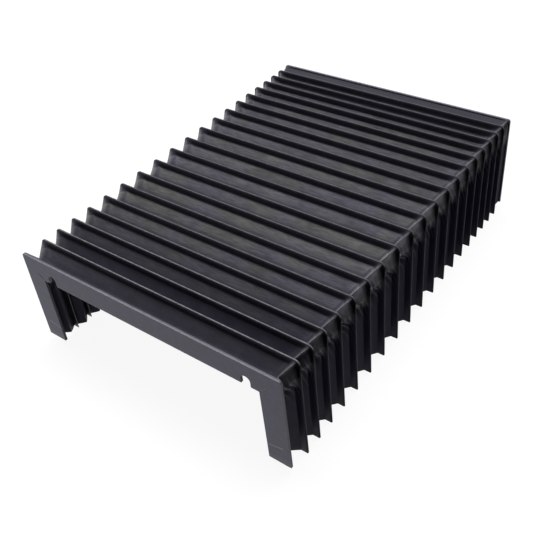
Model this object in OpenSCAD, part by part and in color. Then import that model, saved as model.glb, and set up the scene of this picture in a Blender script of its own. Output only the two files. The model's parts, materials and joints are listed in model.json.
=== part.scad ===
// Bellows way cover: one pleated cloth skin, carried by a stiffening frame in
// each crest, between two cloth-faced end plates shaped like an upturned U.
// X runs across the cover, Y along its travel from the front plate to the rear
// plate, and Z up from the surface that the skirts stand on.

/* [Cover] */
// Width across the fold crests
cover_w = 300; // [240:1:400]
// Height of the fold crests above the floor
cover_h = 116.5; // [90:0.5:180]
// How far the sides lean out between the corners and the floor
side_splay = 2.5; // [0:0.5:5]
// Number of folds between the end plates
fold_count = 20; // [8:1:30]

/* [Fold spacing as it stands] */
// Length of the fold beside the front plate
lead_pitch = 22.5; // [16:0.5:30]
// Length of the folds that follow it
front_pitch = 18; // [12:0.5:26]
// Length of the folds where the cover is drawn out most
mid_pitch = 26.5; // [16:0.5:32]
// Length of the folds beside the rear plate
rear_pitch = 15.5; // [12:0.5:26]
// Where the longest folds lie, as a share of the row of folds
widest_at = 0.4; // [0.2:0.05:0.8]

/* [Cloth skin] */
// Thickness of the coated cloth
cloth_t = 0.5; // [0.3:0.1:0.9]
// Depth of a fold from its crest to its valley
fold_depth = 15; // [12:0.5:20]
// Depth of the last fold, which is drawn taut to the rear plate, as a share of the others
last_share = 0.3; // [0.3:0.05:1]
// Fullness of a valley's slopes, from 1 for a sharp V to 2 for a round trough
valley_bow = 1.15; // [1:0.05:2]
// Radius of a crest where it turns the corner
crest_r = 5; // [3:0.5:8]
// Depth below the crests of the hip over which a valley turns the corner
hip_depth = 9.5; // [6:0.5:11]
// Distance of that hip from the side
hip_in = 10.5; // [8.5:0.5:12]
// Distance from the side at which a valley has its full depth on the top
hip_end = 19; // [17:0.5:30]
// Depth of a valley where its spare cloth stands out in a tuck below the corner
tuck_depth = 5.5; // [3:0.5:9]
// Distance of that tuck below the crests
tuck_drop = 20; // [17:0.5:30]
// Distance below the crests from which a valley has its full depth on the sides
tuck_end = 36; // [32:1:45]
// How much higher a tuck's crease meets the crests
tuck_rise = 5; // [2:0.5:8]
// How far the hips and tucks lean forward, as a share of half a fold
corner_lean = 0.4; // [0:0.05:0.6]
// Depth to which the cloth lies flat on a frame or an end plate under each crest
crest_band = 7; // [4:0.5:9]
// Height of the cloth's lower edge above the floor, which it leaves only to meet the plates' feet
cloth_lift = 0.5; // [0.2:0.1:2]

/* [Stiffening frames] */
// Thickness of a frame
frame_t = 0.8; // [0.5:0.1:1.5]
// Width of a frame's band
frame_band = 13; // [8:0.5:18]
// Clearance between a frame and the cloth around it
frame_gap = 0.2; // [0.1:0.1:0.5]
// Outer corner radius of a frame
frame_r = 7; // [6:0.5:10]
// Inner corner radius of a frame
frame_inner_r = 3; // [1:0.5:6]

/* [End plates] */
// Thickness of a plate
plate_t = 2; // [1.5:0.1:4]
// Height of the bar across the top of a plate
bar_h = 23.5; // [18:0.5:30]
// Width of a plate's legs
leg_w = 22; // [16:0.5:30]
// Height of the plates' feet above the floor
plate_lift = 8; // [4:0.5:20]
// How far a plate's edges lie inside the fold crests
plate_inset = 1; // [0.9:0.1:3]
// Radius of a plate's upper corners
plate_r = 2.5; // [2:0.5:8]
// Width of a bolt notch
notch_w = 9.5; // [6:0.5:12]
// Height of a bolt notch above the bar's lower edge
notch_h = 10; // [8:0.5:14]
// Distance from a leg to the middle of the notch beside it
notch_from_leg = 13; // [8:0.5:40]
// Length of the slit in the facing at each inner corner
slit_l = 9; // [4:0.5:16]
// Width of that slit
slit_w = 0.6; // [0.4:0.1:1.5]

/* [Hidden] */
// Flat strips that make up the curve of one valley
valley_steps = 4;
// Points where the skin turns a corner, from the side to the top: those on the crest's arc,
// the way out of the cover at each, and how much of the crest bands' straight run it keeps
arc_angles = [0, 30, 60, 90];
turn_angles = concat([0, 0], arc_angles, [90]);
turn_bands = [1, 0, 0, 0, 0, 0.8, 1];
// How far a cut runs past the face that it opens
cut_over = 1;
$fn = 48;

cloth_colour = [0.09, 0.09, 0.11];
frame_colour = [0.05, 0.05, 0.06];
plate_colour = [0.42, 0.43, 0.46];
facing_colour = [0.24, 0.24, 0.28];

half_w = cover_w / 2;
cloth_len = length_of_folds(fold_count);
// The back of the front plate; the rear plate is its mirror image
front_y = -cloth_len / 2;
plate_w = cover_w - 2 * plate_inset;
plate_top = cover_h - plate_inset;
opening_w = plate_w - 2 * leg_w;
bar_z = plate_top - bar_h;
// Half the room inside a crest, where its frame stands
crest_room = frame_t / 2 + frame_gap;
frame_inset = cloth_t + frame_gap;

function frame_name(k) = str("stiffening_frame_", k < 10 ? "0" : "", k);

// Length along Y of fold i: the folds grow towards the longest ones and shrink behind them
function fold_pitch(i) =
    let (along = (i + 0.5) / fold_count)
    i == 0 ? lead_pitch
    : along < widest_at
        ? front_pitch + (mid_pitch - front_pitch) * pow(sin(90 * along / widest_at), 2)
        : rear_pitch + (mid_pitch - rear_pitch)
            * pow(cos(90 * (along - widest_at) / (1 - widest_at)), 2);

function length_of_folds(n) = n == 0 ? 0 : fold_pitch(n - 1) + length_of_folds(n - 1);

// Middle of crest k, or the face of the end plate that takes its place
function crest_y(k) = front_y + length_of_folds(k);

// How far a side of the cover has leaned out at the height z
function lean_out(z) = side_splay * max(0, 1 - z / (cover_h - crest_r));

// Room on each side of the middle of crest k, none at an end plate
function room(k) = k == 0 || k == fold_count ? 0 : crest_room;

// Stations across fold i, each [outer y, depth, inner y, how far the inner side lies in,
// outer y and inner y at the corners, foot]: a flat band under each crest, and between them a
// valley with slightly bowed slopes; at the corners the slopes start at the crests
function fold_stations(i) =
    let (
        from_y = crest_y(i) + room(i),
        to_y = crest_y(i + 1) - room(i + 1),
        mid_y = (from_y + to_y) / 2,
        half = (to_y - from_y) / 2
    )
    concat(
        i == 0 ? [] : [crest_edge(from_y, 1)],
        [for (s = [0 : valley_steps])
            let (
                across = 2 * s / valley_steps - 1,
                full = fold_depth - (fold_depth - crest_band) * pow(abs(across), valley_bow),
                dip = full * (i == fold_count - 1 ? last_share : 1),
                sloped = sign(across) * (1 - full / fold_depth),
                at_corner = sloped - corner_lean * (1 - abs(sloped))
            )
            [
                mid_y + (half - cloth_t) * across, dip, mid_y + half * across, cloth_t,
                mid_y + (half - cloth_t) * at_corner, mid_y + half * at_corner, foot_z(i, across)
            ]
        ],
        i == fold_count - 1 ? [] : [crest_edge(to_y, -1)]
    );

// Height of the lower edge across fold i; in an end fold it runs from the plate's foot to the frame's
function foot_z(i, across) =
    let (to_plate = i == 0 ? (1 - across) / 2 : i == fold_count - 1 ? (1 + across) / 2 : 0)
    cloth_lift + (plate_lift - cloth_lift) * to_plate;

// The edge of a crest whose inner wall stands at y; side is 1 behind its frame and -1 before it
function crest_edge(y, side) = [y + side * cloth_t, 0, y, cloth_t, y + side * cloth_t, y, cloth_lift];

// The skin's own edge, flat on an end plate; side is 1 at the front and -1 at the rear
function plate_edge(side) =
    let (out_y = side * (front_y + cloth_t), in_y = side * front_y)
    [out_y, plate_inset, in_y, 0, out_y, in_y, plate_lift];

function skin_stations() = concat(
    [plate_edge(1)],
    [for (i = [0 : fold_count - 1]) each fold_stations(i)],
    [plate_edge(-1)]
);

// Direction out of the cover at one point of a corner
function outward(a) = [cos(a), sin(a)];

// Right-hand corner of the skin on a crest, from the side to the top
function crest_corner() = concat(
    [for (drop = [tuck_end, tuck_drop]) [half_w, cover_h - drop + tuck_rise]],
    [for (a = arc_angles) [half_w - crest_r, cover_h - crest_r] + crest_r * outward(a)],
    [[half_w - hip_in, cover_h]]
);

// The same corner in a valley: the side's end, the tuck, a straight slope up to the hip,
// and another from there down to the top's end
function valley_corner() =
    let (
        tuck = [half_w - tuck_depth, cover_h - tuck_drop],
        hip = [half_w - hip_in, cover_h - hip_depth],
        top_end = [half_w - hip_end, cover_h - fold_depth]
    )
    [
        [half_w - fold_depth, cover_h - tuck_end], tuck, (2 * tuck + hip) / 3,
        (tuck + 2 * hip) / 3, hip, (hip + top_end) / 2, top_end
    ];

// One side of the skin at a station, from the right foot over the top to the left foot
function skin_row(depth, moved_in, y, corner_y, foot) =
    let (
        share = depth / fold_depth,
        corner = (1 - share) * crest_corner() + share * valley_corner(),
        right = concat(
            [[half_w - depth - moved_in + lean_out(foot), y, foot]],
            [for (n = [0 : len(corner) - 1])
                let (p = corner[n] - moved_in * outward(turn_angles[n]))
                [p.x + lean_out(p.y), corner_y + (y - corner_y) * turn_bands[n], p.y]
            ]
        ),
        last = len(right) - 1
    )
    concat(right, [for (n = [last : -1 : 0]) [-right[n].x, right[n].y, right[n].z]]);

// Two triangles over the quad a, b, c, d
function quad(a, b, c, d) = [[a, b, c], [a, c, d]];

// The whole skin as one folded sheet: an outer and an inner grid of points, closed at its edges
module bellows_skin() {
    stations = skin_stations();
    rows = len(stations);
    columns = 2 * (len(turn_angles) + 1);
    inner = rows * columns;
    outer_points = [for (s = stations) each skin_row(s[1], 0, s[0], s[4], s[6])];
    inner_points = [for (s = stations) each skin_row(s[1], s[3], s[2], s[5], s[6])];
    sheets = [
        for (r = [0 : rows - 2]) for (c = [0 : columns - 2])
            let (a = r * columns + c, b = a + 1, e = a + columns, f = e + 1)
            each concat(quad(a, b, f, e), quad(inner + a, inner + e, inner + f, inner + b))
    ];
    plate_edges = [
        for (c = [0 : columns - 2])
            let (a = c, z = (rows - 1) * columns + c)
            each concat(
                quad(a, inner + a, inner + a + 1, a + 1),
                quad(z, z + 1, inner + z + 1, inner + z)
            )
    ];
    lower_edges = [
        for (r = [0 : rows - 2])
            let (a = r * columns, e = a + columns, z = e - 1, y = z + columns)
            each concat(
                quad(a, e, inner + e, inner + a),
                quad(z, inner + z, inner + y, y)
            )
    ];
    color(cloth_colour)
        polyhedron(concat(outer_points, inner_points), concat(sheets, plate_edges, lower_edges));
}

// Plate between the heights foot and top, w wide at its two rounded upper corners and leaning
// out below them
module round_top(w, foot, top, r) {
    x = w / 2;
    foot_x = x + lean_out(foot);
    polygon([[-foot_x, foot], [foot_x, foot], [x, top - r], [-x, top - r]]);
    translate([-x + r, foot]) square([w - 2 * r, top - foot]);
    for (side = [-1, 1]) translate([side * (x - r), top - r]) circle(r);
}

// Upturned U between the heights foot and top
module arch(w, foot, top, leg, bar, outer_r) {
    x = w / 2 - leg;
    from_z = foot - cut_over;
    to_z = top - bar;
    difference() {
        round_top(w, foot, top, outer_r);
        polygon([
            for (p = [[-1, from_z], [1, from_z], [1, to_z], [-1, to_z]])
                [p.x * (x + lean_out(p.y)), p.y]
        ]);
    }
}

// Open-ended notches for the fixing bolts in the lower edge of a plate's bar
module notches() {
    for (side = [-1, 1])
        translate([side * (opening_w / 2 - notch_from_leg), bar_z]) {
            translate([-notch_w / 2, -cut_over - cloth_t])
                square([notch_w, notch_h - notch_w / 2 + cut_over + cloth_t]);
            translate([0, notch_h - notch_w / 2]) circle(notch_w / 2);
        }
}

// Raises a flat shape into a slab that ends at the given y and reaches t forward of it
module slab(back_y, t) {
    translate([0, back_y, 0]) rotate([90, 0, 0]) linear_extrude(t) children();
}

module plate_outline() {
    difference() {
        arch(plate_w, plate_lift, plate_top, leg_w, bar_h, plate_r);
        notches();
    }
}

// The plate grown by the cloth that is turned round its edges
module facing_outline() {
    difference() {
        arch(
            plate_w + 2 * cloth_t, plate_lift - cloth_t, plate_top + cloth_t,
            leg_w + 2 * cloth_t, bar_h + 2 * cloth_t, plate_r + cloth_t
        );
        notches();
    }
}

// Cuts at the inner corners that let the facing turn round them
module corner_slits() {
    for (side = [-1, 1])
        translate([side * (opening_w / 2 + lean_out(bar_z)), bar_z])
            rotate(90 - side * 45)
                translate([0, -slit_w / 2]) square([slit_l, slit_w]);
}

module plain_end_plate() {
    color(plate_colour) slab(front_y, plate_t) plate_outline();
}

module plain_facing() {
    color(facing_colour)
        difference() {
            slab(front_y, plate_t + cloth_t) facing_outline();
            slab(front_y + cut_over, plate_t + cut_over)
                arch(plate_w, plate_lift, plate_top, leg_w, bar_h, plate_r);
            slab(front_y - plate_t, 2 * cloth_t) corner_slits();
        }
}

module front_end_plate() plain_end_plate();

module front_plate_facing() plain_facing();

module rear_end_plate() mirror([0, 1, 0]) plain_end_plate();

module rear_plate_facing() mirror([0, 1, 0]) plain_facing();

// Frame number k, cut from sheet, with its outer edge just under the cloth of its crest
module stiffening_frame(k) {
    w = cover_w - 2 * frame_inset;
    top = cover_h - frame_inset;
    color(frame_colour)
        slab(crest_y(k) + frame_t / 2, frame_t)
            difference() {
                round_top(w, 0, top, frame_r);
                round_top(w - 2 * frame_band, -cut_over, top - frame_band, frame_inner_r);
            }
}

bellows_skin();
front_end_plate();
front_plate_facing();
rear_end_plate();
rear_plate_facing();
for (k = [1 : fold_count - 1])
    stiffening_frame(k);
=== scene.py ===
"""Looks of the bellows way cover: folded cloth, finishes, light and camera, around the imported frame."""
import json
import math

import bpy
import numpy as np
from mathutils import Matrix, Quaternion, Vector

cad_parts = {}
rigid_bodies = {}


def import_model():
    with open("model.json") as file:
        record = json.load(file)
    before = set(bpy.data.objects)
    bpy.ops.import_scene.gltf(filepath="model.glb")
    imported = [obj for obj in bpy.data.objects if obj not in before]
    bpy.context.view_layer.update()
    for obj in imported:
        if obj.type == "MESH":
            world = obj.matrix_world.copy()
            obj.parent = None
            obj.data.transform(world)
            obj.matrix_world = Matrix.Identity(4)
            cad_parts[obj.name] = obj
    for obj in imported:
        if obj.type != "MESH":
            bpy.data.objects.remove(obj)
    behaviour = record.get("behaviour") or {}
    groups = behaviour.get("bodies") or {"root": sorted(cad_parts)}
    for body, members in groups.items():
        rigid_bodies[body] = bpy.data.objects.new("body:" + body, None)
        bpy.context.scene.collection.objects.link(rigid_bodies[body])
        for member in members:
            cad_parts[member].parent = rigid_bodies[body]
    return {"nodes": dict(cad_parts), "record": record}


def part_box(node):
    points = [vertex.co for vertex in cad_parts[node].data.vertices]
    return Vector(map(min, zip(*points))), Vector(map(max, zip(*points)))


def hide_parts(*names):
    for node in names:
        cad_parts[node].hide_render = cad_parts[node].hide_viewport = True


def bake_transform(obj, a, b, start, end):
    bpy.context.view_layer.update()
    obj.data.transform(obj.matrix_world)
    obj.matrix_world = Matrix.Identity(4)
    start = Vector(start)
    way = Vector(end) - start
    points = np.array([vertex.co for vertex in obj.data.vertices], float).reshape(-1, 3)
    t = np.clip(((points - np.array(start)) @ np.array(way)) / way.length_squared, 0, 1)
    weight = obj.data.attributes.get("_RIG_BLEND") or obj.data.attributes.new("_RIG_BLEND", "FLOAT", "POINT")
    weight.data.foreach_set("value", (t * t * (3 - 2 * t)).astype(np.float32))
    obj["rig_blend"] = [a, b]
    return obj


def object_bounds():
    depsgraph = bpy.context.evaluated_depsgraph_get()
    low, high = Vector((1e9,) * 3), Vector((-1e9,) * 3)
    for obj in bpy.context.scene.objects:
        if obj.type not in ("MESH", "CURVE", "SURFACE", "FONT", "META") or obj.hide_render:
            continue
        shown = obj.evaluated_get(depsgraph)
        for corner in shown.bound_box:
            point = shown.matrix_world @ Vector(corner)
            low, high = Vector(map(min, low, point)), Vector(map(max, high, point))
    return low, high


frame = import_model()
CAD_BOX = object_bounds()

MM = 0.001

# Sizes of the cloth that the solids don't give by themselves
CLOTH_T = 0.5 * MM
FOLD_DEPTH = 15 * MM
VALLEY_BOW = 1.15
# Depth of the last fold, which is drawn taut to the rear plate, as a share of the others
LAST_SHARE = 0.3
CREST_R = 5 * MM
# Corner of a valley: the hip over which it turns, and the tuck of spare cloth below it
HIP_DEPTH = 9.5 * MM
HIP_IN = 10.5 * MM
HIP_END = 19 * MM
TUCK_DEPTH = 5.5 * MM
TUCK_DROP = 20 * MM
TUCK_END = 36 * MM
TUCK_RISE = 5 * MM
# How far hips and tucks lean forward, as a share of half a fold
CORNER_LEAN = 0.4
# How far the sides lean out between the corners and the floor
SIDE_SPLAY = 2.5 * MM
FRAME_GAP = 0.2 * MM
# Depth to which the cloth lies flat on a frame under each crest, and rounding of the crest itself
CREST_BAND = 7 * MM
BEAD = 0.7 * MM

# End plates and their facings
PLATE_INSET = 1 * MM
BAR_HEIGHT = 24 * MM
OPENING_HALF = 127 * MM
# Line on each leg where the turned cloth ends: inner end, outer end, height of its inner end, and slope
HEM_X, HEM_END, HEM_Z, HEM_SLOPE = 129.5 * MM, 145 * MM, 26 * MM, 0.2

# Small unevenness of the real cloth
CREASE_LIFT = 0.4 * MM
RIPPLE_DEPTH = 0.7 * MM
RIPPLE_SHIFT = 0.8 * MM
RANDOM_SEED = 11
# Slanting wrinkles below each tuck, and painted highlight streaks there. Heights are counted in reaches
# below it:
# middle and width of the zone, and turns of the pattern for each reach down and from valley to crest
WRINKLE_DEPTH = 1.2 * MM
WRINKLE_REACH = 11 * MM
WRINKLE_ZONE, WRINKLE_TURNS = (0.4, 0.85), (0.9, 2.2)
STREAK_ZONE, STREAK_TURNS = (0.8, 1.3), (0.6, 3.2)
# How far the streaks stray by chance, in turns
STREAK_STRAY = 1.2

# How much dust and painted light some of the folds get, in the middle and at the left end; the taut last
# fold gets none
DUST_AND_LIGHT_FOLDS = (0, 1, 2, 3, 4, 5, 9, 18, 19)
MIDDLE_DUST_AND_LIGHT = (0.15, 0.0, 0.35, 0.62, 0.95, 1.2, 1.0, 0.6, 0.0)
LEFT_DUST_AND_LIGHT = (0.9, 0.4, 0.6, 0.85, 1.0, 1.2, 1.0, 0.6, 0.0)
# How dust and painted light lie in a valley from its deepest line to a crest, and at a corner from crest to
# crest:
# settled dust, with painted light that evens out the valleys' shading and lights the corner facets
VALLEY_DUST_AND_LIGHT = (0.1, 0.25, 0.35, 0.6, 0.8, 0.95, 1.0), (0.2, 0.22, 0.46, 0.62, 0.85, 1.1, 0.0)
CORNER_DUST_AND_LIGHT = (-0.6, -0.1, 0.55, 0.8), (0.0, 1.1, 1.1, 0.0)
# Painted shade beside a hip: share of the dust and painted light taken away there, and where, in columns of
# the mesh from the hip
HIP_SHADE, HIP_SHADE_AT, HIP_SHADE_WIDTH = 0.6, 3.5, 1.6

# How worn the crests are, with a painted highlight along the worn line: the first one, the fifth and the
# last
CREST_WEAR_AND_HIGHLIGHT = (1.2, 0.58, 0.36)
# Painted highlight on the hip creases, wear on the tucks, painted light on the facets, painted highlight on
# the streaks, and wear on a line on the sides and on the cloth by a crest
HIP_HIGHLIGHT, TUCK_WEAR, FACET_PAINTED_LIGHT = 0.8, 0.08, 0.6
STREAK_HIGHLIGHT, SIDE_WEAR, EDGE_WEAR = 1.6, 0.05, 0.06
# Middle and width of a facet's painted light and of the worn line on the sides, from 0 in a valley to 1 at a
# crest
FACET_ZONE, SIDE_ZONE = (0.42, 0.36), (0.5, 0.1)
# Width of a hip's painted highlight, and the way on which the line on the sides sets in, in columns of the
# mesh
HIP_WIDTH, SIDE_FADE = 1.1, 4
# How fast the marks on a corner's flank set in from the side, and the creases' painted highlight and wear
# from a crest
FLANK_POWER, CREASE_RAMP = 1.5, 3

# How dark the painted shade is on the ridges below the corners, beside them at the corners, between the
# streaks, on both shoulders of a crest, and at the corners of the folds with little dust and painted light
RIDGE_SHADE, GAP_SHADE, STREAK_SHADE, SHOULDER_SHADE, FACET_SHADE = 0.95, 1.0, 1.3, 0.7, 0.55
# Share of a ridge's painted shade at the end of the side, the tuck, and the start and first third of the arc
RIDGE_SHARES = (0.5, 0.9, 1, 0)
# Where the painted shade beside a ridge sets in and is full, from 0 in a valley to 1 at a crest
GAP_ZONE = (0.62, 0.8)
# Depth below a crest on which wear and painted shade fade, and powers that narrow the worn, highlighted line
# and the shaded shoulders
EDGE_FADE, RIDGE_FADE = 1.5 * MM, 1.2 * MM
LINE_POWER, SHOULDER_POWER = 12, 4

# Gloss and sheen of the cloth where no shade is painted, and the weave's spacing
CLOTH_GLOSS, CLOTH_SHEEN = 0.1, 0.06
WEAVE = 0.8 * MM

# Fineness of the cloth's mesh: strips across a valley and a crest's band, and rows over a crest
VALLEY_ROWS, BAND_ROWS = 16, 3
BEAD_TURNS = np.radians([-60, -30, 0, 30, 60])
# Columns on a side, between the bends of a corner, and on half the top
SIDE_COLUMNS, TURN_COLUMNS, TOP_COLUMNS = 10, (8, 3, 3, 3, 3, 5), 9
# Powers that draw the columns of a side and of the top together towards the corner
SIDE_CROWD, TOP_CROWD = 1.7, 1.5
# Turn between two faces above which their edge is sharp
SHARP_TURN = math.radians(38)

# Camera, at the photograph's angle: place, the point it looks at, roll and lens
CAMERA_AT = (0.3804, -0.4989, 0.5428)
CAMERA_TO = (0.0214, -0.0681, 0.0615)
CAMERA_ROLL = math.radians(-5.98)
CAMERA_LENS = 49.98

# Soft lamps (name, place, width, height and watts) and the point they face
SOFTBOXES = (
    ("overhead", (-0.1, 0.2, 1.6), 1.5, 0.8, 26),
    ("rear_key", (-0.7, 1.2, 1.2), 0.9, 0.7, 5),
    ("front_fill", (-0.4, -1.55, 0.17), 1.5, 0.3, 8),
)
LAMPS_TO = (0, 0, 0.06)
# Floor: half its size, its gap below the cover, and share and strength of the white it shows unlit
FLOOR_HALF, FLOOR_GAP = 6.0, 0.2 * MM
FLOOR_GLOW, GLOW_STRENGTH = 0.85, 1.08
WHITE = (1, 1, 1, 1)


def crest_names():
    """The stiffening frames in their order from front to rear."""
    return sorted(name for name in frame["nodes"] if name.startswith("stiffening_frame_"))


def travel_shares():
    """Share of the front plate's travel that each crest makes, from 1 at that plate to 0 at the rear."""
    behaviour = frame["record"]["behaviour"]
    ratio = {c["joint"]: c["ratio"] for c in behaviour["couplings"]}
    parent = {j["child"]: (j["parent"], j["name"]) for j in behaviour["joints"]}
    body = {node: name for name, nodes in behaviour["bodies"].items() for node in nodes}
    shares = [1.0]
    for node in crest_names():
        carrier, joint = parent[body[node]]
        shares.append(ratio[joint] + (1.0 if carrier == "front_end" else 0.0))
    return np.array(shares + [0.0])


skin_low, skin_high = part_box("bellows_skin")
TOP, FOOT = skin_high.z, skin_low.z
FRONT_Y, REAR_Y = skin_low.y, skin_high.y
PLATE_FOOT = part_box("front_end_plate")[0].z
PLATE_TOP = TOP - PLATE_INSET
BAR_FOOT = PLATE_TOP - BAR_HEIGHT


def lean_out(height):
    """How far a side has leaned out at a height."""
    return SIDE_SPLAY * np.maximum(0, 1 - height / (TOP - CREST_R))


HALF_W = skin_high.x - lean_out(FOOT)
frame_low, frame_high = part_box(crest_names()[0])
# Half the width of a crest, inside and outside
ROOM = (frame_high.y - frame_low.y) / 2 + FRAME_GAP
BEAD_HALF = ROOM + CLOTH_T
CRESTS = np.array(
    [FRONT_Y] + [sum(corner.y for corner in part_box(name)) / 2 for name in crest_names()] + [REAR_Y]
)
SHARES = travel_shares()
FOLDS = len(CRESTS) - 1
rng = np.random.default_rng(RANDOM_SEED)

TURN_STEPS = np.cumsum((0,) + TURN_COLUMNS)
# Columns from a foot to the bends of a corner: end of the side, tuck, start and first third of the
# crest's arc, hip, end of the arc, and start of the top
BENDS = SIDE_COLUMNS + TURN_STEPS
SIDE_END, TUCK, ARC_START, ARC_THIRD, HIP, _, TOP_START = BENDS
COLUMN_COUNT = 2 * (TOP_START + TOP_COLUMNS) + 1
COLUMNS = np.arange(COLUMN_COUNT)
FROM_FOOT = np.minimum(COLUMNS, COLUMN_COUNT - 1 - COLUMNS)
# How far each column keeps the flat bands under the crests; at a corner the slopes start at the crests
BAND_LEFT = np.interp(FROM_FOOT, BENDS, (1, 0, 0, 0, 0, 0.8, 1))
# Painted shade on the ridges below the corners, as a share in each column
RIDGE = RIDGE_SHADE * np.interp(FROM_FOOT, BENDS[:4], RIDGE_SHARES)


def bell(value, middle, width):
    """1 in the middle of a zone, fading softly to both sides."""
    return np.exp(-((value - middle) / width) ** 2)


def ramp(value, start, end):
    """0 up to the start, 1 from the end on, even between them."""
    return np.clip((value - start) / (end - start), 0, 1)


def node_material(name):
    """A new node material and its Principled shader."""
    material = bpy.data.materials.new(name)
    material.use_nodes = True
    return material, material.node_tree.nodes["Principled BSDF"]


class Tree:
    """Short calls that add and link the nodes of one material or world."""

    def __init__(self, owner):
        self.nodes, self.links = owner.node_tree.nodes, owner.node_tree.links

    def add(self, kind, inputs=(), **settings):
        node = self.nodes.new(kind)
        for key, value in settings.items():
            setattr(node, key, value)
        for key, value in dict(inputs).items():
            self.set(node.inputs[key], value)
        return node

    def set(self, socket, value):
        if isinstance(value, bpy.types.NodeSocket):
            self.links.new(value, socket)
        else:
            socket.default_value = value

    def place(self):
        return self.add("ShaderNodeTexCoord").outputs["Object"]

    def attribute(self, name):
        return self.add("ShaderNodeAttribute", attribute_name=name).outputs["Fac"]

    def noise(self, scale, detail=3.0, vector=None):
        inputs = {"Vector": vector or self.place(), "Scale": scale, "Detail": detail}
        return self.add("ShaderNodeTexNoise", inputs).outputs["Fac"]

    def waves(self, vector, axis, period):
        """Bands across one axis of the vector, one in each period; at scale 1 there are 20 in 2 pi."""
        scale = 2 * math.pi / (20 * period)
        node = self.add("ShaderNodeTexWave", {"Vector": vector, "Scale": scale}, bands_direction=axis)
        return node.outputs["Fac"]

    def math(self, operation, a, b=0.0):
        return self.add("ShaderNodeMath", {0: a, 1: b}, operation=operation).outputs[0]

    def spread(self, value, low, high, to_low, to_high):
        names = ("Value", "From Min", "From Max", "To Min", "To Max")
        inputs = dict(zip(names, (value, low, high, to_low, to_high)))
        return self.add("ShaderNodeMapRange", inputs).outputs[0]

    def mix(self, share, a, b):
        node = self.add("ShaderNodeMix", data_type="RGBA")
        for socket, value in zip((node.inputs[0], node.inputs[6], node.inputs[7]), (share, a, b)):
            self.set(socket, value)
        return node.outputs[2]

    def bump(self, height, strength, distance):
        inputs = {"Height": height, "Strength": strength, "Distance": distance}
        return self.add("ShaderNodeBump", inputs).outputs["Normal"]


def coated_cloth():
    """Black coated cloth over a fine weave: dusty, worn paler along crests and creases, with painted
    highlights, painted light and painted shade.
    """
    dark_coat, pale_coat = (0.026, 0.0245, 0.037, 1), (0.038, 0.036, 0.051, 1)
    shaded_side_coat = (0.032, 0.0295, 0.058, 1)
    warm_dust_and_light, cool_dust_and_light = (0.204, 0.199, 0.192, 1), (0.196, 0.193, 0.228, 1)
    shade_black, pale_grey = (0.006, 0.006, 0.009, 1), (0.30, 0.30, 0.31, 1)
    material, shader = node_material("coated_cloth")
    tree = Tree(material)
    cloth = tree.add("ShaderNodeUVMap", uv_map="cloth").outputs[0]
    # Painted highlight streaks, with painted shade between them, that slant down from each valley to the
    # crests beside it
    height = tree.add("ShaderNodeSeparateXYZ", {0: tree.place()}).outputs["Z"]
    drop = tree.math("DIVIDE", tree.math("SUBTRACT", TOP - TUCK_DROP, height), WRINKLE_REACH)
    turns_down, turns_across = STREAK_TURNS
    rise = tree.math("MULTIPLY", tree.attribute("pleat"), turns_across)
    fall = tree.math("SUBTRACT", tree.math("MULTIPLY", drop, turns_down), rise)
    turn = tree.math("ADD", fall, tree.spread(tree.noise(30, 1), 0.3, 0.7, 0, STREAK_STRAY))
    crest = tree.math("COSINE", tree.math("MULTIPLY", turn, 2 * math.pi))
    streaky = tree.attribute("streak")
    streak = tree.math("MULTIPLY", tree.spread(crest, 0.6, 1, 0, STREAK_HIGHLIGHT), streaky)
    between = tree.math("MULTIPLY", tree.spread(crest, -0.8, 0.5, STREAK_SHADE, 0), streaky)
    worn_and_lit = tree.math("MAXIMUM", tree.attribute("wear"), streak)
    mottle = tree.noise(70, 5)
    grain = tree.noise(1400, 2)
    faded = tree.mix(tree.spread(mottle, 0.3, 0.7, 0, 1), dark_coat, pale_coat)
    # Painted shade tint: lower down on the sides the black turns bluer
    coat = tree.mix(tree.spread(drop, -0.5, 1.5, 0, 0.8), faded, shaded_side_coat)
    # The dust and painted light are brushed along the folds
    stretch = {0: tree.place(), 1: (0.12, 1, 1)}
    along = tree.add("ShaderNodeVectorMath", stretch, operation="MULTIPLY").outputs[0]
    brushed = tree.spread(tree.noise(800, 2, along), 0.35, 0.65, 0.72, 1.28)
    cloudy = tree.math("MULTIPLY", tree.spread(tree.noise(45, 4), 0.3, 0.7, 0.6, 1.0), brushed)
    # Dust, with painted light that evens out the valleys' shading and lights the corner facets
    dust_and_light = tree.math("MULTIPLY", tree.attribute("dust"), cloudy)
    patches = tree.spread(tree.noise(24, 2), 0.42, 0.58, 0, 1)
    body = tree.mix(dust_and_light, coat, tree.mix(patches, warm_dust_and_light, cool_dust_and_light))
    # Wear, and painted highlights on the crests, hips and streaks with painted light on the corner facets
    marked = tree.math("MULTIPLY", worn_and_lit, tree.spread(tree.noise(260, 4), 0.3, 0.65, 0.55, 1.0))
    # Painted shade on the ridges, beside them, on crest shoulders, between the streaks and on some facets
    grime = tree.math("MAXIMUM", tree.attribute("grime"), between)
    shaded = tree.mix(grime, body, shade_black)
    tree.set(shader.inputs["Base Color"], tree.mix(marked, shaded, pale_grey))
    # Painted shade also takes gloss and sheen away; the sockets hold the unshaded cloth's values below their
    # links
    for name, unshaded in (("Specular IOR Level", CLOTH_GLOSS), ("Sheen Weight", CLOTH_SHEEN)):
        shader.inputs[name].default_value = unshaded
        tree.set(shader.inputs[name], tree.spread(grime, 0, 1, unshaded, 0))
    rough = tree.spread(mottle, 0.3, 0.7, 0.42, 0.54)
    uneven = tree.spread(grain, 0.3, 0.7, -0.03, 0.03)
    tree.set(shader.inputs["Roughness"], tree.math("ADD", rough, uneven))
    weave = tree.math("MULTIPLY", tree.waves(cloth, "X", WEAVE), tree.waves(cloth, "Y", WEAVE))
    relief = tree.math("ADD", weave, tree.spread(grain, 0, 1, 0, 0.8))
    tree.set(shader.inputs["Normal"], tree.bump(relief, 0.25, 0.08 * MM))
    shader.inputs["Sheen Roughness"].default_value = 0.4
    return material


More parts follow.
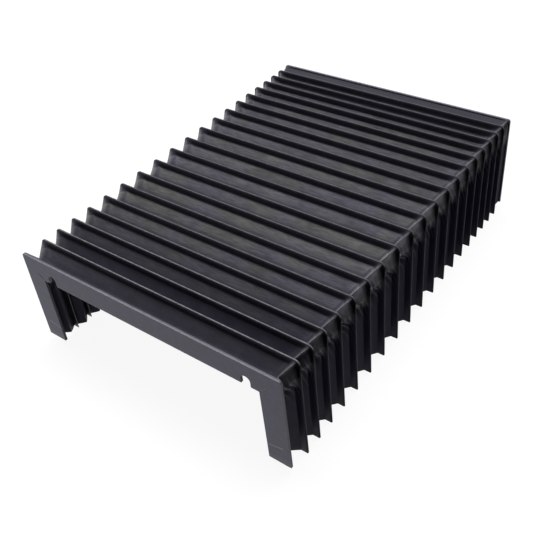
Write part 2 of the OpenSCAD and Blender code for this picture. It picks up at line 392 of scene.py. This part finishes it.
def facing_cloth():
    """Slate coated cloth bonded flat on the plates, paler along its turned edges."""
    dark_slate, pale_slate = (0.060, 0.059, 0.083, 1), (0.087, 0.086, 0.120, 1)
    pale_grey = (0.30, 0.30, 0.32, 1)
    material, shader = node_material("facing_cloth")
    tree = Tree(material)
    mottle = tree.noise(120, 6)
    grain = tree.noise(1600, 3)
    body = tree.mix(tree.spread(mottle, 0.4, 0.6, 0, 1), dark_slate, pale_slate)
    place = tree.add("ShaderNodeSeparateXYZ", {0: tree.place()}).outputs
    # The marks lie on the face and its edge, and fade towards the folds
    along = tree.math("ABSOLUTE", place["Y"])
    outer_half = tree.spread(along, REAR_Y + 1.0 * MM, REAR_Y + 1.6 * MM, 0.15, 1)
    upper = tree.spread(place["Z"], PLATE_TOP - 0.5 * MM, PLATE_TOP + 0.3 * MM, 0, 0.6)
    from_bar = tree.math("ABSOLUTE", tree.math("SUBTRACT", place["Z"], BAR_FOOT))
    across = tree.math("ABSOLUTE", place["X"])
    between_legs = tree.math("LESS_THAN", across, OPENING_HALF)
    lower = tree.math("MULTIPLY", tree.spread(from_bar, 0.5 * MM, 1.0 * MM, 0.45, 0), between_legs)
    # The end of the turned cloth shows through near the foot of each leg
    slope = tree.math("MULTIPLY", tree.math("SUBTRACT", across, HEM_X), HEM_SLOPE)
    hem_z = tree.math("ADD", slope, HEM_Z)
    from_hem = tree.math("ABSOLUTE", tree.math("SUBTRACT", place["Z"], hem_z))
    past_start = tree.math("GREATER_THAN", across, HEM_X)
    on_hem = tree.math("MULTIPLY", past_start, tree.math("LESS_THAN", across, HEM_END))
    hem = tree.math("MULTIPLY", tree.spread(from_hem, 0.4 * MM, 0.9 * MM, 0.8, 0), on_hem)
    foot = tree.spread(place["Z"], PLATE_FOOT + 3 * MM, PLATE_FOOT + 9 * MM, 0.2, 0)
    lines = tree.math("MAXIMUM", tree.math("MAXIMUM", upper, lower), hem)
    edge = tree.math("MULTIPLY", tree.math("MAXIMUM", lines, foot), outer_half)
    marked = tree.math("MULTIPLY", edge, tree.spread(tree.noise(200, 4), 0.3, 0.6, 0.6, 1))
    tree.set(shader.inputs["Base Color"], tree.mix(marked, body, pale_grey))
    tree.set(shader.inputs["Roughness"], tree.spread(mottle, 0.3, 0.7, 0.48, 0.6))
    tree.set(shader.inputs["Normal"], tree.bump(grain, 0.3, 0.06 * MM))
    shader.inputs["Specular IOR Level"].default_value = 0.3
    shader.inputs["Sheen Weight"].default_value = 0.05
    return material


def painted_steel():
    """Light grey satin paint with a faint orange peel."""
    dark_paint, pale_paint = (0.38, 0.38, 0.40, 1), (0.45, 0.45, 0.47, 1)
    material, shader = node_material("plate_steel")
    tree = Tree(material)
    patches = tree.noise(40, 4)
    paint = tree.mix(tree.spread(patches, 0.3, 0.7, 0, 1), dark_paint, pale_paint)
    tree.set(shader.inputs["Base Color"], paint)
    tree.set(shader.inputs["Roughness"], tree.spread(patches, 0.3, 0.7, 0.34, 0.48))
    tree.set(shader.inputs["Normal"], tree.bump(tree.noise(900, 2), 0.15, 0.05 * MM))
    return material


def frame_plastic():
    """Black plastic sheet with a faint grain and scuffs."""
    black, scuffed = (0.018, 0.018, 0.021, 1), (0.04, 0.04, 0.045, 1)
    material, shader = node_material("frame_sheet")
    tree = Tree(material)
    scuffs = tree.noise(120, 6)
    tree.set(shader.inputs["Base Color"], tree.mix(tree.spread(scuffs, 0.4, 0.75, 0, 1), black, scuffed))
    tree.set(shader.inputs["Roughness"], tree.spread(scuffs, 0.3, 0.7, 0.4, 0.6))
    tree.set(shader.inputs["Normal"], tree.bump(tree.noise(1100, 2), 0.2, 0.05 * MM))
    return material


def corner_points():
    """Points (x, z) of the right-hand corner on a crest and in a valley, and the way out of it."""
    column = np.arange(TURN_STEPS[-1] + 1)
    angle = np.radians(np.interp(column, TURN_STEPS, (0, 0, 0, 30, 60, 90, 90)))
    outward = np.stack([np.cos(angle), np.sin(angle)], 1)
    crest = np.array([HALF_W - CREST_R, TOP - CREST_R]) + CREST_R * outward
    straight_down = TUCK_END - TUCK_RISE, TUCK_DROP - TUCK_RISE, CREST_R
    crest[:, 1] -= np.interp(column, TURN_STEPS[:3], np.array(straight_down) - CREST_R)
    crest[:, 0] -= np.interp(column, TURN_STEPS[5:], (0, HIP_IN - CREST_R))
    side_end = np.array([HALF_W - FOLD_DEPTH, TOP - TUCK_END])
    tuck = np.array([HALF_W - TUCK_DEPTH, TOP - TUCK_DROP])
    hip = np.array([HALF_W - HIP_IN, TOP - HIP_DEPTH])
    top_start = np.array([HALF_W - HIP_END, TOP - FOLD_DEPTH])
    bends = np.stack([side_end, tuck, hip, top_start])
    valley = np.stack([np.interp(column, TURN_STEPS[[0, 1, 4, 6]], bends[:, n]) for n in (0, 1)], 1)
    return crest, valley, outward


def right_half(depth, inset, foot_z):
    """Rows of points (x, z) from the right foot to the middle of the top, one row for each depth."""
    crest, valley, outward = corner_points()
    share = (depth / FOLD_DEPTH)[:, None, None]
    inset, foot_z = np.broadcast_to(inset, depth.shape), np.broadcast_to(foot_z, depth.shape)
    turn = (1 - share) * crest + share * valley - inset[:, None, None] * outward
    turn[..., 0] += lean_out(turn[..., 1])
    first, last = turn[:, :1], turn[:, -1:]
    foot = np.stack([HALF_W - depth - inset + lean_out(foot_z), foot_z], 1)[:, None, :]
    middle = np.stack([np.zeros_like(depth), TOP - depth - inset], 1)[:, None, :]
    # The columns lie closer together towards the corner
    up = 1 - (1 - np.linspace(0, 1, SIDE_COLUMNS + 1)[:-1, None]) ** SIDE_CROWD
    across = np.linspace(0, 1, TOP_COLUMNS + 1)[1:, None] ** TOP_CROWD
    return np.concatenate([foot + (first - foot) * up, turn, last + (middle - last) * across], 1)


def mirrored(half):
    """The whole path from the right foot to the left foot."""
    other = half[:, -2::-1].copy()
    other[..., 0] *= -1
    return np.concatenate([half, other], 1)


def fold_profile(i):
    """Rows across fold i: place from -1 at its first crest band to 1 at its last, and depth."""
    across = np.linspace(-1, 1, VALLEY_ROWS + 1)
    valley = FOLD_DEPTH - (FOLD_DEPTH - CREST_BAND) * np.abs(across) ** VALLEY_BOW
    if i == FOLDS - 1:
        valley *= LAST_SHARE
    first = np.linspace(BEAD if i > 0 else PLATE_INSET, valley[0], BAND_ROWS + 1)[:-1]
    last = np.linspace(valley[-1], BEAD if i < FOLDS - 1 else PLATE_INSET, BAND_ROWS + 1)[1:]
    place = np.concatenate([np.full(BAND_ROWS, -1.0), across, np.full(BAND_ROWS, 1.0)])
    return place, np.concatenate([first, valley, last])


def fold_layer(i, inside):
    """Rows (y, depth) of one side of the cloth in fold i."""
    start = CRESTS[i] + (ROOM if i > 0 else 0.0)
    end = CRESTS[i + 1] - (ROOM if i < FOLDS - 1 else 0.0)
    place, depth = fold_profile(i)
    half = (end - start) / 2 - (0.0 if inside else CLOTH_T)
    return (start + end) / 2 + half * place, depth


def foot_height(i):
    """Height of the lower edge in each row of fold i; in an end fold it runs from plate to frame."""
    place, _ = fold_profile(i)
    to_plate = {0: (1 - place) / 2, FOLDS - 1: (1 + place) / 2}.get(i, 0 * place)
    return FOOT + (PLATE_FOOT - FOOT) * to_plate


def moved_in(i, inside):
    """How far each row of fold i lies inside the cloth's outer side; 0 at the skin's own two ends."""
    amount = np.full(VALLEY_ROWS + 1 + 2 * BAND_ROWS, CLOTH_T if inside else 0.0)
    if i == 0:
        amount[0] = 0
    if i == FOLDS - 1:
        amount[-1] = 0
    return amount


def slow_wave(length, count, strength):
    """A gentle random wave over the columns, from a few sines of seeded size and phase."""
    at = np.linspace(0, 1, length)
    size, phase = rng.uniform(0.4, 1, count), rng.uniform(0, 2 * math.pi, count)
    wave = sum(s * np.sin(2 * math.pi * (n + 1) * at + p) for n, (s, p) in enumerate(zip(size, phase)))
    return strength * wave / size.sum()


def corner_place(i):
    """Place of each row of fold i at its corners before they lean, from -1 to 1 at its two crests."""
    place, depth = fold_profile(i)
    start = np.where(place < 0, depth[0], depth[-1])
    return np.sign(place) * (depth.max() - depth) / (depth.max() - start)


def corner_rows(i, inside):
    """Where the rows of fold i lie at its corners, whose slopes start at the crests."""
    y, _ = fold_layer(i, inside)
    middle, place = (y[0] + y[-1]) / 2, corner_place(i)
    return middle + (y[-1] - middle) * (place - CORNER_LEAN * (1 - np.abs(place)))


def fold_points(i, inside, deeper, shift, phases):
    """Points of one side of the cloth in fold i, their travel, and their reaches below the tucks."""
    y, depth = fold_layer(i, inside)
    swell = ramp(depth, depth[BAND_ROWS], depth.max())[:, None]
    lower = np.clip(depth / FOLD_DEPTH, 0, 1)[:, None]
    path = mirrored(right_half(depth, moved_in(i, inside), foot_height(i)))
    side = np.sign(path[..., 0])
    dip = swell * deeper - CREASE_LIFT * (FROM_FOOT == HIP) * lower
    path[..., 1] -= np.where(FROM_FOOT >= HIP, dip, 0)
    path[..., 0] -= side * np.where(FROM_FOOT > HIP, 0, dip)
    # Slanting wrinkles on the sides below each tuck
    drop = (TOP - TUCK_DROP - path[..., 1]) / WRINKLE_REACH
    near = bell(drop, *WRINKLE_ZONE) * (FROM_FOOT < ARC_THIRD)
    turns_down, turns_across = WRINKLE_TURNS
    turn = turns_down * drop - turns_across * np.abs(corner_place(i))[:, None]
    slant = np.cos(2 * math.pi * turn + np.where(side > 0, *phases))
    path[..., 0] += side * WRINKLE_DEPTH * near * lower * slant
    at_corner = corner_rows(i, inside)[:, None]
    rows = at_corner + (y[:, None] - at_corner) * BAND_LEFT + shift * swell
    travel = np.interp(rows, (y[0], y[-1]), SHARES[i:i + 2])
    return np.stack([path[..., 0], rows, path[..., 1]], 2), travel, drop


def crest_points(k, inside):
    """Points of one side of the cloth over crest k."""
    half = ROOM if inside else BEAD_HALF
    y, depth = CRESTS[k] + half * np.sin(BEAD_TURNS), BEAD * (1 - np.cos(BEAD_TURNS))
    path = mirrored(right_half(depth, CLOTH_T if inside else 0.0, FOOT))
    return np.stack([path[..., 0], np.broadcast_to(y[:, None], path.shape[:2]), path[..., 1]], 2)


def fold_marks(i, drop):
    """Marks in fold i, whose points lie this far below the tucks: wear, dust, painted highlights, painted
    light and shade.
    """
    place, depth = fold_profile(i)
    at_corner = corner_place(i)
    to_crest = np.abs(at_corner)
    lower = np.clip(depth / FOLD_DEPTH, 0, 1)[:, None]
    below_hip = FROM_FOOT < HIP
    # The facet between tuck and hip, and the whole flank from the end of the side to the hip
    facet = np.sqrt(ramp(FROM_FOOT, TUCK, HIP) * below_hip)
    flank = ramp(FROM_FOOT, SIDE_END, TUCK) ** FLANK_POWER * below_hip
    in_middle, at_left = (np.interp(i, DUST_AND_LIGHT_FOLDS, amount) for amount in (MIDDLE_DUST_AND_LIGHT, LEFT_DUST_AND_LIGHT))
    dust_and_light = in_middle + (at_left - in_middle) * ramp(COLUMNS, COLUMN_COUNT / 2, COLUMN_COUNT - HIP)
    # Painted shade beside each hip; painted light with the dust in the valleys and on the corner facets
    hip_shade = 1 - HIP_SHADE * bell(FROM_FOOT, HIP + HIP_SHADE_AT, HIP_SHADE_WIDTH)
    on_floor = np.interp(np.abs(place), *VALLEY_DUST_AND_LIGHT)[:, None] * ~below_hip * hip_shade
    on_flank = np.interp(at_corner, *CORNER_DUST_AND_LIGHT)[:, None] * flank

    edge = EDGE_WEAR * np.exp(-depth / EDGE_FADE)[:, None] * (FROM_FOOT > ARC_START)
    line = SIDE_WEAR * bell(np.abs(place), *SIDE_ZONE)[:, None] * ramp(FROM_FOOT, TUCK, TUCK - SIDE_FADE)
    # Painted highlight along each hip, and wear on each tuck
    creases = HIP_HIGHLIGHT * bell(FROM_FOOT, HIP, HIP_WIDTH) + TUCK_WEAR * (FROM_FOOT == TUCK)
    middle, width = FACET_ZONE
    patch = np.clip(1 - np.abs(at_corner - middle) / width, 0, 1)[:, None] * facet
    creases = creases * np.clip(CREASE_RAMP * lower, 0, 1)
    # Painted light in the middle of the corner facets
    corners = creases + FACET_PAINTED_LIGHT * patch * np.minimum(dust_and_light, 1)

    # Painted shade on the ridges below the corners, beside them at the corners, and on the facets of folds
    # with little dust and painted light
    ridge = np.exp(-depth / RIDGE_FADE)[:, None] * RIDGE
    gap = GAP_SHADE * ramp(to_crest, *GAP_ZONE)[:, None] * np.sqrt(flank)
    facet_shade = FACET_SHADE * max(0, 1 - in_middle) * facet
    return {
        "wear": np.maximum(np.maximum(edge, line), corners),
        "dust": (on_floor + on_flank) * dust_and_light,
        "grime": np.maximum(ridge, np.maximum(gap, facet_shade)),
        "pleat": np.broadcast_to(to_crest[:, None], drop.shape),
        "streak": bell(drop, *STREAK_ZONE) * (FROM_FOOT < ARC_THIRD) * lower,
    }


def crest_marks(k):
    """Marks on crest k: a worn line with a painted highlight along it, and painted shade on both shoulders,
    except on the sides.
    """
    level = np.cos(BEAD_TURNS)[:, None]
    marked = ramp(FROM_FOOT, ARC_START, ARC_THIRD)
    worn_and_lit = np.interp(k, (1, 5, FOLDS - 1), CREST_WEAR_AND_HIGHLIGHT)
    none = np.zeros((len(BEAD_TURNS), COLUMN_COUNT))
    return {
        # A worn line along the crest with a painted highlight
        "wear": level ** LINE_POWER * worn_and_lit * marked,
        "dust": none,
        # Painted shade on both shoulders of the crest
        "grime": np.maximum(RIDGE, SHOULDER_SHADE * (1 - level ** SHOULDER_POWER) * marked),
        "pleat": none,
        "streak": none,
    }


def skin_points():
    """Outer and inner points of the whole skin, the travel of each, and the marks at each: wear, dust and
    painted light and shade.
    """
    layers, shares, marks = {False: [], True: []}, {False: [], True: []}, []
    for i in range(FOLDS):
        deeper = slow_wave(COLUMN_COUNT, 4, RIPPLE_DEPTH) + rng.uniform(-0.5, 0.5) * RIPPLE_DEPTH
        shift = slow_wave(COLUMN_COUNT, 3, RIPPLE_SHIFT)
        phases = rng.uniform(0, 2 * math.pi, 2)
        for inside in (False, True):
            points, travel, drop = fold_points(i, inside, deeper, shift, phases)
            layers[inside].append(points)
            shares[inside].append(travel)
        marks.append(fold_marks(i, drop))
        if i < FOLDS - 1:
            for inside in (False, True):
                points = crest_points(i + 1, inside)
                layers[inside].append(points)
                shares[inside].append(np.full(points.shape[:2], SHARES[i + 1]))
            marks.append(crest_marks(i + 1))
    sides = [np.concatenate(layers[inside]) for inside in (False, True)]
    travel = np.concatenate(shares[False] + shares[True])
    return sides, travel, {name: np.concatenate([strip[name] for strip in marks]) for name in marks[0]}


def grid_faces(rows, columns):
    """Quads of the closed sheet: an outer grid, an inner one after it, and the rims between them."""
    at = np.arange(rows * columns).reshape(rows, columns)
    inner = at + rows * columns
    quads = [
        np.stack([at[:-1, :-1], at[1:, :-1], at[1:, 1:], at[:-1, 1:]], -1),
        np.stack([inner[:-1, :-1], inner[:-1, 1:], inner[1:, 1:], inner[1:, :-1]], -1),
    ]
    rims = ((at[0], inner[0], False), (at[-1], inner[-1], True),
            (at[:, 0], inner[:, 0], True), (at[:, -1], inner[:, -1], False))
    for out, back, turned in rims:
        quad = np.stack([out[:-1], out[1:], back[1:], back[:-1]], -1)
        quads.append(quad[:, ::-1] if turned else quad)
    return np.concatenate([q.reshape(-1, 4) for q in quads])


def mesh_from(name, points, quads):
    """An object with these points and quads, shaded smooth up to its sharp edges."""
    mesh = bpy.data.meshes.new(name)
    mesh.from_pydata(points.tolist(), [], quads.tolist())
    mesh.validate()
    mesh.shade_smooth()
    mesh.set_sharp_from_angle(angle=SHARP_TURN)
    piece = bpy.data.objects.new(name, mesh)
    bpy.context.scene.collection.objects.link(piece)
    return piece


def lengths_along(points):
    """Length of the way from the first point to each of them."""
    return np.concatenate([[0], np.cumsum(np.linalg.norm(np.diff(points, axis=0), axis=1))])


def bellows_cloth():
    """The skin as one folded sheet that follows the frames and both end plates."""
    (outer, inner), travel, marks = skin_points()
    rows, columns = outer.shape[:2]
    points = np.concatenate([outer.reshape(-1, 3), inner.reshape(-1, 3)])
    piece = mesh_from("bellows_cloth", points, grid_faces(rows, columns))
    mesh = piece.data
    for name, mark in marks.items():
        # Dust and painted light lie on the outer side only
        both = np.concatenate([mark.ravel(), mark.ravel() * (name != "dust")])
        mesh.attributes.new(name, "FLOAT", "POINT").data.foreach_set("value", both)
    # Places on the flat cloth, in metres, along the path over the cover and across the folds
    over = lengths_along(outer[0])
    along = lengths_along(outer[:, columns // 2])
    flat = np.stack(np.meshgrid(over, along), -1).reshape(-1, 2)
    corner = np.empty(len(mesh.loops), np.int32)
    mesh.loops.foreach_get("vertex_index", corner)
    uv = mesh.uv_layers.new(name="cloth")
    uv.data.foreach_set("uv", np.tile(flat, (2, 1))[corner].ravel())
    mesh.materials.append(coated_cloth())
    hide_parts("bellows_skin")
    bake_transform(piece, "rear_end", "front_end", start=(0, REAR_Y, 0), end=(0, FRONT_Y, 0))
    # Between two frames the cloth takes its share of the travel from both
    mesh.attributes["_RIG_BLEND"].data.foreach_set("value", travel.ravel().astype(np.float32))


def finish_solids():
    """Gives the solids that stay in view their materials and a small rounding of their edges."""
    looks = {
        "plate_facing": (facing_cloth(), 0.4 * MM),
        "end_plate": (painted_steel(), 0.3 * MM),
        "stiffening_frame": (frame_plastic(), 0.2 * MM),
    }
    for name, solid in frame["nodes"].items():
        for kind, (material, rounding) in looks.items():
            if kind in name:
                solid.data.materials.clear()
                solid.data.materials.append(material)
                bevel = solid.modifiers.new("rounded edges", "BEVEL")
                bevel.width, bevel.segments, bevel.limit_method = rounding, 2, "ANGLE"


def seen_directly(tree):
    """1 for rays from the camera, from a reflection or through glass."""
    path = tree.add("ShaderNodeLightPath").outputs
    reflected = tree.math("MAXIMUM", path["Is Glossy Ray"], path["Is Transmission Ray"])
    return tree.math("MAXIMUM", path["Is Camera Ray"], reflected)


def floor_white():
    """White with a shadow to the camera and reflections; darker where it only throws light back."""
    material = bpy.data.materials.new("floor_white")
    material.use_nodes = True
    tree = Tree(material)
    tree.nodes.clear()
    seen = seen_directly(tree)
    lit = tree.add("ShaderNodeBsdfDiffuse", {"Color": (0.9, 0.9, 0.9, 1)})
    glow = tree.add("ShaderNodeEmission", {"Color": WHITE, "Strength": GLOW_STRENGTH})
    white = tree.add("ShaderNodeMixShader", {0: FLOOR_GLOW, 1: lit.outputs[0], 2: glow.outputs[0]})
    dim = tree.add("ShaderNodeBsdfDiffuse", {"Color": (0.15, 0.15, 0.15, 1)})
    both = tree.add("ShaderNodeMixShader", {0: seen, 1: dim.outputs[0], 2: white.outputs[0]})
    tree.add("ShaderNodeOutputMaterial", {0: both.outputs[0]})
    return material


def add_floor():
    """A wide floor just below the cover."""
    half = FLOOR_HALF
    mesh = bpy.data.meshes.new("floor")
    corners = [(-half, -half, 0), (half, -half, 0), (half, half, 0), (-half, half, 0)]
    mesh.from_pydata(corners, [], [(0, 1, 2, 3)])
    mesh.materials.append(floor_white())
    floor = bpy.data.objects.new("floor", mesh)
    floor.location.z = CAD_BOX[0].z - FLOOR_GAP
    bpy.context.scene.collection.objects.link(floor)


def add_world():
    """White to the camera and reflections, and a faint cool light on the cover."""
    world = bpy.data.worlds.new("studio")
    bpy.context.scene.world = world
    world.use_nodes = True
    tree = Tree(world)
    tree.nodes.clear()
    dim = tree.add("ShaderNodeBackground", {"Color": (0.8, 0.87, 1.0, 1), "Strength": 0.04})
    white = tree.add("ShaderNodeBackground", {"Color": WHITE, "Strength": 1.0})
    shares = {0: seen_directly(tree), 1: dim.outputs[0], 2: white.outputs[0]}
    both = tree.add("ShaderNodeMixShader", shares)
    tree.add("ShaderNodeOutputWorld", {0: both.outputs[0]})


def aimed(name, data, at, target):
    """An object in the scene that looks from its place at the target."""
    thing = bpy.data.objects.new(name, data)
    thing.location = at
    thing.rotation_mode = "QUATERNION"
    thing.rotation_quaternion = (Vector(target) - Vector(at)).to_track_quat("-Z", "Y")
    bpy.context.scene.collection.objects.link(thing)
    return thing


def add_lights():
    """The soft lamps."""
    for name, at, width, height, watts in SOFTBOXES:
        lamp = bpy.data.lights.new(name, "AREA")
        lamp.shape, lamp.size, lamp.size_y, lamp.energy = "RECTANGLE", width, height, watts
        aimed(name, lamp, at, LAMPS_TO)


def add_camera():
    """The camera, rolled as the photograph's was."""
    data = bpy.data.cameras.new("camera")
    data.lens = CAMERA_LENS
    camera = aimed("camera", data, CAMERA_AT, CAMERA_TO)
    camera.rotation_quaternion = camera.rotation_quaternion @ Quaternion((0, 0, 1), CAMERA_ROLL)
    bpy.context.scene.camera = camera


bpy.context.scene.view_settings.view_transform = "Standard"
finish_solids()
bellows_cloth()
add_floor()
add_world()
add_lights()
add_camera()
